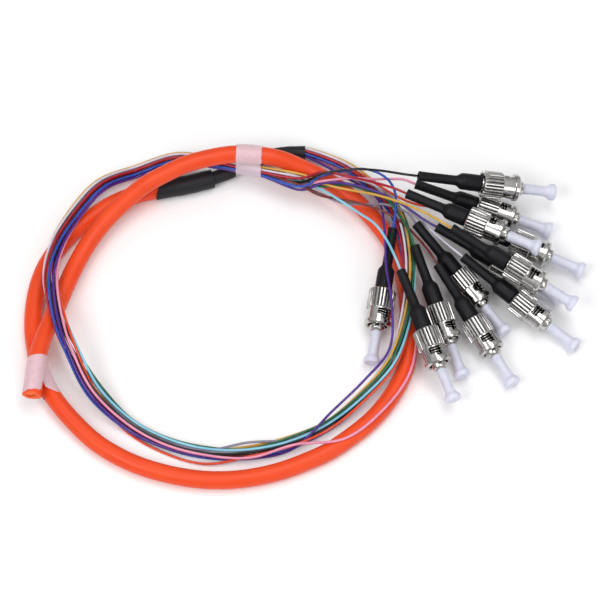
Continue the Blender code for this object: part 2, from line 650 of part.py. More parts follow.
def slot_cutter(collection):
    """Two J-shaped bayonet slots: each an L outline, drawn out through the nut's wall."""
    top = NUT_LENGTH - NUT_RIM_LENGTH - SLOT_MARGIN
    foot = KNURL_LENGTH + SLOT_MARGIN
    across = NUT_WAIST_DIAMETER / 2 * math.sin(SLOT_SWEEP)
    half = SLOT_WIDTH / 2
    outline = [(-half, top), (-half, foot), (across, foot), (across, foot + SLOT_WIDTH),
               (half, foot + SLOT_WIDTH), (half, top)]
    mesh = bpy.data.meshes.new("bayonet_slot_cutter")
    form = bmesh.new()
    for side in (1, -1):
        corners = [form.verts.new((SLOT_CUT_START * side, y * side, z)) for y, z in outline]
        sheet = form.faces.new(corners)
        drawn = bmesh.ops.extrude_face_region(form, geom=[sheet])["geom"]
        moved = [item for item in drawn if isinstance(item, bmesh.types.BMVert)]
        bmesh.ops.translate(form, vec=(side * NUT_DIAMETER, 0, 0), verts=moved)
    bmesh.ops.recalc_face_normals(form, faces=form.faces)
    form.to_mesh(mesh)
    form.free()
    cutter = bpy.data.objects.new("bayonet_slot_cutter", mesh)
    cutter.hide_render = True
    cutter.display_type = "WIRE"
    collection.objects.link(cutter)
    return cutter


def wrap_outline(circles, extra):
    """Outline round circles of (across, height, radius), with a point for each normal."""
    outline = []
    for i in range(TAPE_SIDES):
        turn = 2 * math.pi * i / TAPE_SIDES
        normal = (math.cos(turn), math.sin(turn))
        across, height, radius = max(
            circles, key=lambda c: c[0] * normal[0] + c[1] * normal[1] + c[2])
        outline.append((across + (radius + extra) * normal[0],
                        height + (radius + extra) * normal[1]))
    return outline


def wrap_object(name, stations, slot, collection):
    """A tape band over stations of (place, across direction, circles), in millimetres."""
    mesh = bpy.data.meshes.new(name)
    form = bmesh.new()
    loops = []
    for place, direction, circles in stations:
        ring = []
        for across, height in wrap_outline(circles, WRAP_GAP / MM):
            spot = np.array(place) + across * np.array(direction)
            ring.append(form.verts.new(on_plan(spot[0], spot[1], height)))
        loops.append([form.edges.new((ring[i - 1], ring[i])) for i in range(len(ring))])
    for a, b in zip(loops, loops[1:]):
        bmesh.ops.bridge_loops(form, edges=a + b)
    bmesh.ops.recalc_face_normals(form, faces=form.faces)
    form.to_mesh(mesh)
    form.free()
    mesh.materials.append(slot)
    obj = bpy.data.objects.new(name, mesh)
    collection.objects.link(obj)
    wall = obj.modifiers.new("thickness", "SOLIDIFY")
    wall.thickness = TAPE_THICKNESS
    wall.offset = 1.0
    return obj


def crossing(route, place, run):
    """Point of a route nearest to the plane through a place across a run."""
    dense = along(route, np.arange(0, length_of(route), READING_STEP))
    away = np.abs((dense[:, :2] - place) @ run)
    near = np.linalg.norm(dense[:, :2] - place, axis=1) < TAPE_REACH
    return dense[np.where(near, away, np.inf).argmin()]


def tape_circles(strands, place, direction):
    """Sections of strands at a station, each given as (point, radius)."""
    return [(float((point[:2] - np.array(place)) @ np.array(direction)), point[2], radius)
            for point, radius in strands]


def tape_stations(centre, run, width, routes):
    """Stations along a tape, each with the sections of the routes that it holds."""
    run = np.array(run) / np.linalg.norm(run)
    direction = np.array([-run[1], run[0]])
    stations = []
    for step in np.linspace(-0.5, 0.5, TAPE_STATIONS):
        place = np.array(centre) + step * width * run
        held = [(crossing(route, place, run), radius) for route, radius in routes]
        stations.append((place, direction, tape_circles(held, place, direction)))
    return stations


def build():
    clear_scene()
    parts = new_collection("multifibre_pigtail")
    cutters = new_collection("cutters")
    jacket, sleeve, tube, routes, plugs = lay_everything()

    jacket_material = material("jacket")
    shrink = material("black_shrink")
    tape = material("tape")
    boot = material("boot")
    nickel = material("nickel")
    cap_material = material("cap")

    tube_object("cable_jacket", jacket, JACKET_DIAMETER, jacket_material, parts,
                JACKET_SIDES)
    widths = np.linspace(1.0, SLEEVE_TAPER, len(sleeve))
    tube_object("breakout_sleeve", sleeve, SLEEVE_DIAMETER, shrink, parts, SLEEVE_SIDES,
                widths)
    tube_object("breakout_tube", tube, TUBE_DIAMETER, shrink, parts, TUBE_SIDES)
    for colour, route in routes.items():
        tube_object(f"fibre_{colour}", route, FIBRE_DIAMETER, material(colour), parts,
                    FIBRE_SIDES)

    radius = JACKET_DIAMETER / 2 / MM
    half = len(jacket) // 2
    strands = [(jacket[:half], radius), (jacket[half:], radius)]
    held = [strands[0], (tube, TUBE_DIAMETER / 2 / MM)]
    held += [(route, FIBRE_DIAMETER / 2 / MM) for route in routes.values()]
    wrap_object("top_tape", tape_stations(TOP_TAPE_CENTRE, TOP_TAPE_RUN, TOP_TAPE_WIDTH, held),
                tape, parts)
    wrap_object("left_tape", tape_stations(LEFT_TAPE_CENTRE, LEFT_TAPE_RUN, LEFT_TAPE_WIDTH,
                                           strands), tape, parts)

    cutter = slot_cutter(cutters)
    for number, place in sorted(plugs.items()):
        body = turned_object(f"connector_body_{number:02d}", body_profile(), boot, parts,
                             BODY_STEPS)
        body.matrix_world = place.matrix(0)
        nut = turned_object(f"coupling_nut_{number:02d}", nut_profile(), nickel, parts,
                            NUT_STEPS, ring=True)
        facets = NUT_TURNS[number - 1] / NUT_STEPS
        nut.matrix_world = place.matrix(NUT_START) @ Matrix.Rotation(2 * math.pi * facets, 4, "Z")
        cap = turned_object(f"dust_cap_{number:02d}", cap_profile(), cap_material, parts,
                            CAP_STEPS)
        cap.matrix_world = place.matrix(CAP_START)
        own_cutter = cutter.copy()
        own_cutter.matrix_world = nut.matrix_world
        cutters.objects.link(own_cutter)
        cut = nut.modifiers.new("bayonet slots", "BOOLEAN")
        cut.object = own_cutter
    bpy.data.objects.remove(cutter)


build()
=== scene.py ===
import json
import math

import bmesh
import bpy
import numpy as np
from mathutils import Matrix, Vector, noise


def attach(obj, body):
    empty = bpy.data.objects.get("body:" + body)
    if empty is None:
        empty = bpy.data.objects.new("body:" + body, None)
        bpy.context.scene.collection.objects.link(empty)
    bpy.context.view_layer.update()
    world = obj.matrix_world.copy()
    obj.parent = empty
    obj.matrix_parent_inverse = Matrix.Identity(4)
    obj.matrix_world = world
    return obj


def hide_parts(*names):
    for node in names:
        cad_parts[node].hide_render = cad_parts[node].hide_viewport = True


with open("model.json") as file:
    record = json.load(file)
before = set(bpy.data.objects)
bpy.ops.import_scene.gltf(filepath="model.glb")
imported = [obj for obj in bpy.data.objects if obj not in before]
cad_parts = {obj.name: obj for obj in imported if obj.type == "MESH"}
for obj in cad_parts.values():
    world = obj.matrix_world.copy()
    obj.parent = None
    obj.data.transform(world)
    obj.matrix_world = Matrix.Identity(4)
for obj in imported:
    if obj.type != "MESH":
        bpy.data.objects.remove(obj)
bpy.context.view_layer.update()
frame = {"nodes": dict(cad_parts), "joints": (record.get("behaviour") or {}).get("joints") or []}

MM = 0.001
WELD = 0.00001
PIGTAIL = "pigtail"

# Camera: the photograph is nearly square-on to a plan seen from 62 degrees up
PIXEL = 0.35 * MM
FIELD = 600 * PIXEL
AIM = Vector((-0.0022, 0.0073, 0.0))
ELEVATION = math.radians(62)
CAMERA_DISTANCE = 1.5
FILM = 36.0

# Brightness of the room at the level of the floor, and from a share of the way up
ROOM_SIDE = 0.22
ROOM_TOP = 0.62
ROOM_TOP_LEVEL = 0.75
FLOOR_REACH = 3.0
FLOOR_DROP = 0.0001

# Soft lamps: place, size and power in watts
LAMPS = {
    "key": ((-0.48, -0.5, 0.85), (0.5, 0.5), 3.9),
    "top": ((0.15, 0.05, 1.0), (0.7, 0.4), 3.2),
    "front": ((0.6, -0.65, 0.5), (0.3, 0.5), 1.2),
}

# Cords, as in the frame's solids
JACKET_DIAMETER = 0.0062
FIBRE_DIAMETER = 0.0009
SLEEVE_DIAMETER = 0.0072
TUBE_DIAMETER = 0.0050
PLAN_CENTRE = Vector((2.2, -7.3, 0.0))
SLEEVE_REAR = (Vector((-49.5, 42.5, 3.6)) - PLAN_CENTRE) * MM
TUBE_REAR = (Vector((-30.6, 47.0, 3.6)) - PLAN_CENTRE) * MM
TUBE_MOUTH = (Vector((1.8, 57.3, 3.6)) - PLAN_CENTRE) * MM
CAP_EDGE = math.radians(60)
CURVE_STEPS = 16
JACKET_SPACING = 0.0030
FIBRE_SPACING = 0.0016
JACKET_SIDES = 32
FIBRE_SIDES = 12

# Shrunk pieces: spacing of their sections, and the depth of their creases
SHRINK_SPACING = 0.0006
CREASE_DEPTH = 0.00007
CREASE_SEED = 0.7

# Sleeve: its creases from end to end, taper, flat section, lips, the ridge near its front,
# and the lean of its rear cut. Shares are of its length.
SLEEVE_SIDES = 40
SLEEVE_CREASES = 14
SLEEVE_SEED = 0.3
SLEEVE_TAPER = 0.07
SLEEVE_FLAT = 0.985
LIP = 0.00012
RIDGE_HEIGHT = 0.0001
RIDGE_SHARE = 0.86
RIDGE_SPREAD = 0.02
SLEEVE_LEAN = math.radians(-30)
SLEEVE_LEAN_SHARE = 0.16

# Tube: how far it starts inside the sleeve, its slack in the solid, its flared mouth with
# the hollow's depths and shares of its radius, and how deep the fibres start inside it
TUBE_SIDES = 36
TUBE_CREASES = 30
TUBE_SEED = 4.3
TUBE_OVERLAP = 0.0015
TUBE_SLACK = 0.0001
MOUTH_FLARE = 0.00016
FLARE_SPREAD = 0.05
MOUTH_HOLLOW = ((0, 0.94), (0.0002, 0.90), (0.004, 0.88))
TUBE_DEPTH = 0.0035

# The cut end of the jacket: how flat it is squeezed, over what length and how much of that
# goes into its width, its rim, and the wall round its hollow
CUT_SQUEEZE = 0.16
CUT_SQUEEZE_LENGTH = 0.010
CUT_SPREAD = 0.8
CUT_RIM = 0.0003
CUT_WALL = 0.0009

# The hollow: its depth, a slit's share of its height, shares of its depth with its size
# there, and how much of that narrowing its height takes
CUT_DEPTH = 0.006
CUT_SLIT = 0.55
CUT_HOLLOW = ((0, 1.0), (0.2, 0.92), (0.5, 0.8), (1.0, 0.7))
CUT_NARROWING = 0.4

# Its folds: height, half waves across it and their reach. The cut face is the zone near the
# end within the outer part of the wall, on a section that is squeezed wide.
CUT_FOLD = 0.0005
CUT_FOLDS = 3
CUT_FOLD_WIDTH = 0.00275
CUT_FOLD_HEIGHT = 0.0013
CUT_ZONE = (-1.2 * CUT_DEPTH, 0.0002)
CUT_FACE_RADIUS = JACKET_DIAMETER / 2 - 0.6 * CUT_WALL
CUT_FACE_STRETCH = 1.15

# Tape bands. The film hugs the cords, with wrinkles along them, and is torn at one end.
# TAPE_SPARE is how far sections are read past a band's ends, for a torn edge that runs on.
# Each wrinkle row has its grain per metre, its change over the width, and its weight.
TAPE_THICKNESS = 0.00015
TAPE_GAP = 0.00022
TAPE_FLOOR = 0.0003
TAPE_REACH = 0.015
TAPE_TUCK = 0.8
TAPE_SIDES = 120
TAPE_STEPS = 30
TAPE_SECTIONS = 41
WRAP_STEPS = 180
TAPE_SPARE = 0.003
TAPE_TEAR_START = 0.1
TAPE_TEAR_GRAIN = (1500, 300)
TAPE_TEAR_SEED = 7.0
TAPE_WRINKLE = 0.00014
TAPE_WRINKLES = ((900, 1.2, 1.0), (2600, 3, 0.5))
DENSE_SPACING = 0.0002

# Each tape's middle in the plan of the coil in millimetres, the way it runs, its width, the
# depth of its torn edge, and how far that edge reaches at places across the band
TOP_TAPE = {"centre": (-18.0, 50.0), "run": (1.0, -0.06), "width": 0.009, "tear": 0.0004,
            "reach": ((0,), (0,))}
LEFT_TAPE = {"centre": (-90.5, -34.5), "run": (0.12, -1.0), "width": 0.012, "tear": 0.0005,
             "reach": ((0.0029, 0.0032, 0.0078), (0.0012, -0.0024, -0.0004))}

# Distances along a plug from the rear of its boot, in millimetres
BOOT_LENGTH = 23.0
NUT_START = 23.3
NUT_MIDDLE = 30.0
RING_END = 38.3
CAP_START = 38.6

# Boot, in millimetres: bore for the fibre, neck, and the grip with its shoulder
BOOT_BORE = 0.65
BOOT_MOUTH_DEPTH = 2.0
BOOT_NECK = 1.70
BOOT_GRIP = 3.0
BOOT_STEPS = 40

# Barrel, in millimetres: shaft, seat in the boot and the web, collar, spring, keyed ring and
# the socket that holds the ferrule. The key is a notch in the ring.
BARREL_GAP = 0.02
SHAFT_RADIUS = 2.1
SEAT_RADIUS = 2.4
COLLAR_RADIUS = 3.1
COLLAR_LENGTH = 2
COLLAR_GAP = 0.3
SPRING_START = 28.2
SPRING_PITCH = 0.95
SPRING_TURNS = 6
SPRING_COIL = ((0.12, 2.9), (0.28, 3.0), (0.44, 2.9), (0.56, SHAFT_RADIUS))
RING_RADIUS = 2.7
RING_LENGTH = 3.2
SOCKET_RADIUS = 1.32
SOCKET_DEPTH = 1.4
KEY_START = 0.9
KEY_HALF_ANGLE = 0.2
KEY_SLACK = 0.08
KEY_SINK = 0.8
BARREL_STEPS = 48

# Ferrule, in millimetres
FERRULE_RADIUS = 1.25
FERRULE_REACH = 7.0
FERRULE_STEPS = 32

# Coupling nut, in millimetres. A rib and its groove take RIB_STEPS facets, and RIB_SINK is
# how deep the facets' edges lie. A nut is turned by facets of a fourteenth of a turn.
NUT_LENGTH = 13.4
NUT_RADIUS = 4.75
WAIST_RADIUS = 4.15
KNURL_LENGTH = 7.2
RIM_LENGTH = 1.8
REAR_BORE = 2.75
REAR_RECESS = 0.5
NUT_BORE = 3.45
NUT_WEB = 1.6
NUT_EDGE = 0.25
NUT_CHAMFER = 0.45
RIBS = 22
RIB_STEPS = 6
RIB_DEPTH = 0.42
RIB_SINK = {0: 1.0, 1: 1.0, 2: 0.12, 5: 0.12}
NUT_FACETS = 14
NUT_TURNS = [1, 2, 2, 3, 2, 3, 3, 2, 3, 2, 3, 2]

# Bayonet slots, in millimetres: width, how far the foot sweeps round, and where they end
SLOT_WIDTH = 2.3
SLOT_SWEEP = math.radians(44)
SLOT_TOP_GAP = 0.55
SLOT_FOOT_GAP = 0.45
SLOT_CORNER = 0.38

# Dust cap, in millimetres: bore, body, rings at the mouth, and the dished flange
CAP_BORE = 1.41
CAP_BORE_DEPTH = 7.3
CAP_RADIUS = 1.80
CAP_RINGS = 4
CAP_RING_START = 0.25
CAP_RING_PITCH = 0.55
CAP_RING_RADIUS = 1.94
CAP_FLANGE = 2.95
CAP_LENGTH = 11.9
CAP_STEPS = 40

FIBRE_OF_PLUG = ["black", "rose", "red", "orange", "violet", "yellow", "white", "slate",
                 "brown", "green", "aqua", "blue"]

# Tight-buffer colours of the fibres, as sRGB: lit and in shade
FIBRE_COLOURS = {
    "blue": ("2457C8", "173C96"), "orange": ("EE5226", "C73A14"), "green": ("107048", "0A4A30"),
    "brown": ("7A241A", "521410"), "slate": ("9A92A4", "756D80"), "white": ("E6DFEC", "C4BCCE"),
    "red": ("C01030", "8E0820"), "black": ("17171C", "0C0C10"), "yellow": ("E8B852", "BE8C34"),
    "violet": ("54289C", "391A70"), "rose": ("F6A6C0", "D8809E"), "aqua": ("96D8EE", "6CB4CE"),
}


def linear(code):
    """Linear colour of an sRGB hex value."""
    shares = [int(code[i:i + 2], 16) / 255 for i in (0, 2, 4)]
    return (*[s / 12.92 if s <= 0.04045 else ((s + 0.055) / 1.055) ** 2.4 for s in shares], 1.0)


def add(tree, kind, inputs=(), **settings):
    """Adds a node with its settings, its values and the links that feed it."""
    made = tree.nodes.new(kind)
    for key, value in settings.items():
        setattr(made, key, value)
    for key, value in dict(inputs).items():
        if isinstance(value, bpy.types.NodeSocket):
            tree.links.new(value, made.inputs[key])
        else:
            made.inputs[key].default_value = value
    return made


def surface(name, lit, shade, roughness, mottle, grain, depth, stretch=(1, 1, 1), **constants):
    """A Principled surface with a mottle between two colours and a fine grain.

    roughness is its lowest and highest value; mottle and grain are pattern sizes and depth
    is the grain's height, in millimetres."""
    made = bpy.data.materials.new(name)
    made.use_nodes = True
    tree = made.node_tree
    shader = tree.nodes["Principled BSDF"]
    place = add(tree, "ShaderNodeTexCoord")
    laid = add(tree, "ShaderNodeMapping", {"Vector": place.outputs["Object"], "Scale": stretch})
    cloud = add(tree, "ShaderNodeTexNoise", {"Vector": laid.outputs[0], "Detail": 3.0,
                                             "Scale": 1 / (mottle * MM)})
    colour = add(tree, "ShaderNodeMix", {0: cloud.outputs["Fac"], 6: linear(shade),
                                         7: linear(lit)}, data_type="RGBA")
    tree.links.new(colour.outputs[2], shader.inputs["Base Color"])
    gloss = add(tree, "ShaderNodeMapRange", {"Value": cloud.outputs["Fac"],
                                             "From Min": 0.3, "From Max": 0.7,
                                             "To Min": roughness[0], "To Max": roughness[1]})
    tree.links.new(gloss.outputs[0], shader.inputs["Roughness"])
    pits = add(tree, "ShaderNodeTexNoise", {"Vector": laid.outputs[0], "Detail": 4.0,
                                            "Scale": 1 / (grain * MM)})
    relief = add(tree, "ShaderNodeBump", {"Height": pits.outputs["Fac"], "Strength": 0.6,
                                          "Distance": depth * MM})
    tree.links.new(relief.outputs[0], shader.inputs["Normal"])
    for key, value in constants.items():
        shader.inputs[key.replace("_", " ")].default_value = value
    return made


def extruded_pvc():
    # Extruded plasticised PVC: bright red-orange, half gloss, with the faint pebble of the die
    return surface("extruded_pvc_jacket", "F4521E", "E23E10", (0.36, 0.48), 9.0, 0.55, 0.012,
                   **{"Specular IOR Level": 0.35})


def cut_pvc():
    # Cut face and bore of the jacket: the same compound, paler and dull where the blade went
    return surface("cut_pvc", "FF7A3C", "E8501C", (0.55, 0.70), 1.5, 0.25, 0.02)


def shrunk_polyolefin():
    # Heat-shrunk polyolefin: near black, dull, drawn into fine creases over what it holds
    return surface("shrunk_polyolefin", "1B1C23", "101116", (0.48, 0.62), 4.0, 0.7, 0.04,
                   **{"Specular IOR Level": 0.35})


def moulded_elastomer():
    # Moulded thermoplastic elastomer: black with a blue cast and a satin, softly pebbled skin
    return surface("moulded_elastomer_boot", "0F0F15", "09090D", (0.44, 0.56), 5.0, 0.25, 0.010,
                   **{"Specular IOR Level": 0.24})


def tight_buffer(colour):
    # Tight-buffer PVC: glossy and evenly coloured, with a slow change of tone along it
    lit, shade = FIBRE_COLOURS[colour]
    return surface(f"tight_buffer_{colour}", lit, shade, (0.22, 0.34), 6.0, 0.4, 0.008)


def ribbed_nickel():
    # Nickel-plated brass, knurled: warm silver, with the fine grain of the knurling wheel
    return surface("knurled_nickel_plate", "C9C7C5", "A8A6A4", (0.18, 0.30), 2.0, 0.12, 0.002,
                   Metallic=1.0)


def painted_shade_nickel():
    # Painted shade: dull nickel, its colour darkened to stand in for the shade on the floors of
    # the knurl's grooves, in the nut's bore and on the barrel's shaft behind the spring
    return surface("nickel_painted_shade", "3C3A38", "242322", (0.45, 0.60), 0.8, 0.12, 0.004,
                   Metallic=1.0)


def turned_nickel():
    # Nickel-plated brass, turned: bright and mirror-like under a faint tool haze
    return surface("turned_nickel_plate", "D2D0CD", "B4B2AF", (0.12, 0.22), 2.5, 0.20, 0.0015,
                   Metallic=1.0)


def ground_zirconia():
    # Ground zirconia ceramic: white, dense and smooth
    return surface("ground_zirconia", "F4F2EC", "E6E3DA", (0.14, 0.20), 2.0, 0.2, 0.002)


def natural_polyethylene():
    # Moulded natural polyethylene: milky, with a lavender cast where light comes through
    return surface("natural_polyethylene", "F1F2FF", "E0E1F8", (0.30, 0.42), 2.5, 0.5, 0.010,
                   **{"Subsurface Weight": 0.25, "Subsurface Scale": 0.0015,
                      "Subsurface Radius": (1.0, 0.95, 1.0),
                      "Transmission Weight": 0.22, "IOR": 1.51})


def acetate_film():
    # Thin milky tape film: what it wraps shines through a little, whiter along its creases
    return surface("milky_tape_film", "FFF2FA", "F0DDEA", (0.36, 0.58), 1.8, 0.4, 0.05,
                   Alpha=0.45)


def film_edge():
    # Cut edge of the tape film: it gathers the light, so it shows as a bright line
    return surface("milky_film_edge", "FFF4F2", "F8E2E2", (0.30, 0.40), 1.8, 0.4, 0.01)


def length_of(points):
    return float(np.linalg.norm(np.diff(points, axis=0), axis=1).sum())


def along(points, distances):
    """Points at the given distances along a line of points."""
    steps = np.linalg.norm(np.diff(points, axis=0), axis=1)
    reached = np.concatenate([[0], np.cumsum(steps)])
    return np.column_stack([np.interp(distances, reached, column) for column in points.T])


def smooth(points, spacing):
    """Even points of a smooth curve through the given ones."""
    padded = np.vstack([2 * points[0] - points[1], points, 2 * points[-1] - points[-2]])
    share = np.linspace(0, 1, CURVE_STEPS, endpoint=False)[:, None]
    spans = [0.5 * (2 * b + (c - a) * share + (2 * a - 5 * b + 4 * c - d) * share ** 2
                    + (3 * b - a - 3 * c + d) * share ** 3)
             for a, b, c, d in zip(padded, padded[1:], padded[2:], padded[3:])]
    fine = np.vstack(spans + [points[-1:]])
    return along(fine, np.linspace(0, length_of(fine), round(length_of(fine) / spacing) + 1))


def centreline(node, start):
    """Middles of the rings of a tube of the frame, from its end that is nearer to start."""
    form = bmesh.new()
    form.from_mesh(frame["nodes"][node].data)
    bmesh.ops.remove_doubles(form, verts=form.verts, dist=WELD)
    form.verts.index_update()
    rims = {v for e in form.edges if e.calc_face_angle(0) > CAP_EDGE for v in e.verts}
    ring = set(sorted(rims, key=lambda v: (v.co - start).length)[:len(rims) // 2])
    seen = set(ring)
    middles = []
    while ring:
        middles.append(np.mean([v.co for v in sorted(ring, key=lambda v: v.index)], axis=0))
        ring = {e.other_vert(v) for v in ring for e in v.link_edges} - seen
        seen |= ring
    form.free()
    return np.array(middles)


def finished(name, form, finishes, sharp=35):
    """Turns a bmesh into a mesh, shaded smooth up to an angle in degrees."""
    bmesh.ops.recalc_face_normals(form, faces=form.faces)
    mesh = bpy.data.meshes.new(name)
    form.to_mesh(mesh)
    form.free()
    for finish in finishes:
        mesh.materials.append(finish)
    mesh.shade_smooth()
    mesh.set_sharp_from_angle(angle=math.radians(sharp))
    return mesh


def add_piece(name, data, body, slot, *replaced):
    piece = bpy.data.objects.new(name, data)
    bpy.context.scene.collection.objects.link(piece)
    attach(piece, body)
    if replaced:
        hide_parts(*replaced)
    return piece


def swept(stations, sides):
    """A form through ellipses of (place, direction, half width, half height), closed at
    both ends."""
    form = bmesh.new()
    rings = []
    for i, (place, direction, wide, high) in enumerate(stations):
        turn = Vector(direction).to_track_quat("Z", "Y").to_matrix().to_4x4()
        shape = Matrix.Diagonal((wide, high, 1, 1))
        made = bmesh.ops.create_circle(form, cap_ends=i in (0, len(stations) - 1), radius=1,
                                       segments=sides,
                                       matrix=Matrix.Translation(place) @ turn @ shape)
        ring = []
        for vert in made["verts"]:
            ring += [edge for edge in vert.link_edges if edge not in ring]
        rings.append(ring)
    for a, b in zip(rings, rings[1:]):
        bmesh.ops.bridge_loops(form, edges=a + b)
    return form


def turned(profile, steps, ring=False):
    """A form turned round Z from a profile of (radius, height) in millimetres."""
    form = bmesh.new()
    points = [form.verts.new((radius * MM, 0, height * MM)) for radius, height in profile]
    edges = [form.edges.new(pair) for pair in zip(points, points[1:])]
    if ring:
        edges.append(form.edges.new((points[-1], points[0])))
    bmesh.ops.spin(form, geom=points + edges, cent=(0, 0, 0), axis=(0, 0, 1),
                   angle=2 * math.pi, steps=steps, use_merge=True)
    bmesh.ops.remove_doubles(form, verts=form.verts, dist=WELD)
    return form


def soften(form, width, segments=2, least=25):
    """Rounds the edges that are sharper than an angle in degrees, by a width in mm."""
    sharp = [e for e in form.edges if e.calc_face_angle(0) > math.radians(least)]
    bmesh.ops.bevel(form, geom=sharp, offset=width * MM, offset_type="OFFSET",
                    affect="EDGES", segments=segments, profile=0.5, material=-1)


def directions(path):
    run = np.gradient(path, axis=0)
    return run / np.linalg.norm(run, axis=1)[:, None]


def make_camera():
    data = bpy.data.cameras.new("camera")
    data.lens = FILM * CAMERA_DISTANCE / FIELD
    data.sensor_width = FILM
    data.clip_end = 20
    camera = bpy.data.objects.new("camera", data)
    back = Vector((0, -math.cos(ELEVATION), math.sin(ELEVATION)))
    camera.location = AIM + back * CAMERA_DISTANCE
    camera.rotation_euler = back.to_track_quat("Z", "Y").to_euler()
    bpy.context.scene.collection.objects.link(camera)
    bpy.context.scene.camera = camera


def add_lamp(name, place, size, power):
    data = bpy.data.lights.new(name, "AREA")
    data.shape = "RECTANGLE"
    data.size, data.size_y = size
    data.energy = power
    lamp = bpy.data.objects.new(name, data)
    lamp.location = place
    lamp.rotation_euler = (Vector(place) - AIM).to_track_quat("Z", "Y").to_euler()
    bpy.context.scene.collection.objects.link(lamp)


def make_studio():
    """A pale floor, a dim even room and three soft lamps."""
    form = bmesh.new()
    bmesh.ops.create_grid(form, x_segments=1, y_segments=1, size=FLOOR_REACH,
                          matrix=Matrix.Translation((0, 0, -FLOOR_DROP)))
    paper = surface("pale_paper", "FFFFFF", "FBFBFC", (0.85, 0.9), 400, 50, 0.0)
    floor = bpy.data.objects.new("floor", finished("floor", form, [paper]))
    bpy.context.scene.collection.objects.link(floor)
    world = bpy.data.worlds.new("room")
    world.use_nodes = True
    tree = world.node_tree
    sky = tree.nodes["Background"]
    sky.inputs["Color"].default_value = (1, 1, 1, 1)
    way = add(tree, "ShaderNodeTexCoord")
    parts = add(tree, "ShaderNodeSeparateXYZ", {0: way.outputs["Generated"]})
    level = add(tree, "ShaderNodeMapRange", {"Value": parts.outputs["Z"], "From Min": 0.0,
                                             "From Max": ROOM_TOP_LEVEL, "To Min": ROOM_SIDE,
                                             "To Max": ROOM_TOP})
    tree.links.new(level.outputs[0], sky.inputs["Strength"])
    bpy.context.scene.world = world
    for name, (place, size, power) in LAMPS.items():
        add_lamp(name, place, size, power)
    bpy.context.scene.view_settings.view_transform = "Standard"


def jacket_stations(path):
    """Sections of the jacket from the breakout to its squeezed cut end, then back inside."""
    ways = directions(path)
    radius = JACKET_DIAMETER / 2
    left = length_of(path) - np.concatenate(
        [[0], np.cumsum(np.linalg.norm(np.diff(path, axis=0), axis=1))])
    squeeze = CUT_SQUEEZE * np.clip(1 - left / CUT_SQUEEZE_LENGTH, 0, 1) ** 2
    stations = [(place, way, radius * (1 + flat * CUT_SPREAD), radius * (1 - flat))
                for place, way, flat in zip(path, ways, squeeze)]
    place, way = path[-1], ways[-1]
    wide, high = stations[-1][2:]
    stations[-1] = (place - way * CUT_RIM, way, wide, high)
    stations.append((place, way, wide - CUT_RIM, high - CUT_RIM))
    for depth, share in CUT_HOLLOW:
        slit = (high - CUT_WALL) * CUT_SLIT * (1 - CUT_NARROWING * (1 - share))
        stations.append((place - way * depth * CUT_DEPTH, way, (wide - CUT_WALL) * share, slit))
    return stations


def fold_cut_end(form, place, way):
    """Waves the hollow of the cut end into folds that run along it, and gives the cut face
    and the hollow their own finish."""
    to_end = (Matrix.Translation(place)
              @ Vector(way).to_track_quat("Z", "Y").to_matrix().to_4x4())
    from_end = to_end.inverted()
    inmost, outmost = CUT_ZONE
    for vert in form.verts:
        spot = from_end @ vert.co
        if (inmost < spot.z < outmost and abs(spot.x) < CUT_FOLD_WIDTH
                and abs(spot.y) < CUT_FOLD_HEIGHT):
            wave = math.sin(spot.x / (CUT_FACE_RADIUS * 2) * CUT_FOLDS * math.pi)
            vert.co = to_end @ Vector((spot.x, spot.y + CUT_FOLD * wave, spot.z))
    for face in form.faces:
        spot = from_end @ face.calc_center_median()
        inside = math.hypot(spot.x / CUT_FACE_STRETCH, spot.y) < CUT_FACE_RADIUS
        face.material_index = int(inmost < spot.z < outmost and inside)


def make_jacket(path):
    form = swept(jacket_stations(path), JACKET_SIDES)
    fold_cut_end(form, path[-1], directions(path)[-1])
    piece = add_piece("jacket", finished("jacket", form, [extruded_pvc(), cut_pvc()], 50), PIGTAIL,
                      "jacket", "cable_jacket")


def crease(share, creases, seed):
    """Height of a shrunk piece's creases at a share of its length."""
    return CREASE_DEPTH * noise.noise(Vector((share * creases, seed, CREASE_SEED)))


def make_sleeve(path, shrink):
    """The sleeve shrunk over the jacket's end: cut askew at its rear, with a crisp lip and a
    faint ridge at its front."""
    ways = directions(path)
    stations = []
    for place, way, share in zip(path, ways, np.linspace(0, 1, len(path))):
        ridge = RIDGE_HEIGHT * math.exp(-((share - RIDGE_SHARE) / RIDGE_SPREAD) ** 2)
        wide = (SLEEVE_DIAMETER / 2 * (1 - SLEEVE_TAPER * share)
                + crease(share, SLEEVE_CREASES, SLEEVE_SEED) + ridge)
        lean = SLEEVE_LEAN * max(0.0, 1 - share / SLEEVE_LEAN_SHARE)
        askew = Matrix.Rotation(lean, 3, "Z") @ Vector(way)
        stations.append((place, askew, wide / math.cos(lean), wide * SLEEVE_FLAT))
    place, way, wide, high = stations[0]
    stations[0] = (place + np.array(way) * LIP, way, wide, high)
    stations.insert(0, (place, way, wide - LIP, high - LIP))
    place, way, wide, high = stations[-1]
    stations.append((place + np.array(way) * LIP, way, wide - LIP, high - LIP))
    form = swept(stations, SLEEVE_SIDES)
    add_piece("shrunk_sleeve", finished("shrunk_sleeve", form, [shrink]), PIGTAIL,
              "black_shrink", "breakout_sleeve")


def make_tube(path, shrink):
    """The thin shrunk tube round the fibres, open at its mouth."""
    ways = directions(path)
    radius = TUBE_DIAMETER / 2
    stations = []
    for place, way, share in zip(path, ways, np.linspace(0, 1, len(path))):
        high = radius - TUBE_SLACK + crease(share, TUBE_CREASES, TUBE_SEED)
        flare = MOUTH_FLARE * math.exp(-((1 - share) / FLARE_SPREAD) ** 2)
        stations.append((place, way, high + flare, high))
    for depth, share in MOUTH_HOLLOW:
        stations.append((path[-1] - ways[-1] * depth, ways[-1], radius * share, radius * share))
    form = swept(stations, TUBE_SIDES)
    add_piece("shrunk_tube", finished("shrunk_tube", form, [shrink]), PIGTAIL,
              "black_shrink", "breakout_tube")


